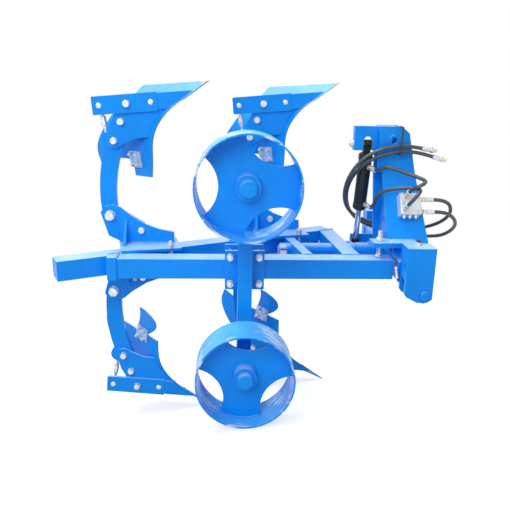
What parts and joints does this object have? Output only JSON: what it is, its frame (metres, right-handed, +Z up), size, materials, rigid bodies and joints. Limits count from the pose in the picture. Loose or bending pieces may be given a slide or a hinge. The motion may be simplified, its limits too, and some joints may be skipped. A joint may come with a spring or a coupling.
{
  "type": "mounted reversible mouldboard plough",
  "caption": "Mounted reversible mouldboard plough with a hydraulic turnover headstock and steel depth wheels.",
  "frame": {"origin": "midway between the two lower hitch pins, with the plough at rest on the ground on its lower wheel and the tips of its two lower shares", "axes": "+Z up; +X forward to the tractor, along the level projection of the turnover axis; +Y to the plough's left"},
  "size_m": [1.6847, 1.2713, 1.445],
  "materials": {
    "blue_paint": "glossy azure blue sprayed enamel",
    "black_paint": "satin black enamel on the cylinder barrel",
    "chrome": "hard chromed and ground piston rod",
    "zinc": "zinc plated and galvanised steel",
    "aluminium": "milled aluminium",
    "hose_rubber": "dark slate rubber hydraulic hose cover",
    "nylon": "black nylon cable tie"
  },
  "bodies": {
    "headstock": {"hitch_beam": "blue_paint", "hitch_brackets": "blue_paint", "hitch_pins": "blue_paint", "mast_side_near": "blue_paint", "mast_side_far": "blue_paint", "mast_back": "blue_paint", "mast_ear": "blue_paint", "cylinder_pin": "zinc", "turnover_shaft": "blue_paint", "housing_brace": "blue_paint", "stop_plate": "blue_paint", "stop_screw": "zinc", "valve_block": "aluminium", "valve_fittings": "zinc", "hose_tie": "nylon", "supply_hose_a": "hose_rubber", "supply_hose_b": "hose_rubber", "lift_hose_upper": "hose_rubber", "lift_hose_lower": "hose_rubber", "hose_coupling_a": "zinc", "hose_coupling_b": "zinc"},
    "plough_frame": {"main_beam": "blue_paint", "side_beam": "blue_paint", "beam_collar": "blue_paint", "cross_members": "blue_paint", "turnover_sleeve": "blue_paint", "turnover_crank": "blue_paint", "share_rear_lower": "blue_paint", "mouldboard_rear_lower": "blue_paint", "frog_rear_lower": "blue_paint", "leg_rear_lower": "blue_paint", "share_rear_upper": "blue_paint", "mouldboard_rear_upper": "blue_paint", "frog_rear_upper": "blue_paint", "leg_rear_upper": "blue_paint", "leg_brackets_rear": "blue_paint", "share_front_lower": "blue_paint", "mouldboard_front_lower": "blue_paint", "frog_front_lower": "blue_paint", "leg_front_lower": "blue_paint", "share_front_upper": "blue_paint", "mouldboard_front_upper": "blue_paint", "frog_front_upper": "blue_paint", "leg_front_upper": "blue_paint", "leg_brackets_front": "blue_paint", "landsides": "blue_paint", "tail_plates": "blue_paint", "splice_plates": "zinc", "turnbuckles": "zinc", "wheel_post": "blue_paint", "post_clamps": "blue_paint", "wheel_axles": "blue_paint"},
    "cylinder_barrel": {"cylinder_barrel": "black_paint"},
    "cylinder_rod": {"cylinder_rod": "chrome"},
    "wheel_upper": {"wheel_ring_upper": "blue_paint", "wheel_disc_upper": "blue_paint"},
    "wheel_lower": {"wheel_ring_lower": "blue_paint", "wheel_disc_lower": "blue_paint"}
  },
  "joints": [
    {"name": "turnover", "type": "hinge", "parent": "headstock", "child": "plough_frame", "pos_m": [-0.20368, -0.02158, 0.09578], "axis": [0.9923, 0, -0.1242], "range_deg": [0, 180]},
    {"name": "cylinder_swing", "type": "hinge", "parent": "headstock", "child": "cylinder_barrel", "pos_m": [-0.11073, -0.16168, 0.5405], "axis": [0.9923, 0, -0.1242], "range_deg": [-11.91, 0], "deforming": ["lift_hose_upper", "lift_hose_lower"]},
    {"name": "rod_slide", "type": "slide", "parent": "cylinder_barrel", "child": "cylinder_rod", "axis": [-0.1085, 0.4864, -0.867], "range_m": [-0.1105, 0]},
    {"name": "wheel_upper_spin", "type": "hinge", "parent": "plough_frame", "child": "wheel_upper", "pos_m": [-0.65986, -0.57846, 0.36429], "axis": [0.0367, 0.9553, 0.2933], "continuous": true},
    {"name": "wheel_lower_spin", "type": "hinge", "parent": "plough_frame", "child": "wheel_lower", "pos_m": [-0.74648, -0.3627, -0.3277], "axis": [0.0367, 0.9553, 0.2933], "continuous": true}
  ],
  "couplings": [
    {"joint": "rod_slide", "follows": "cylinder_swing", "m_per_rad": 0.52905}
  ]
}
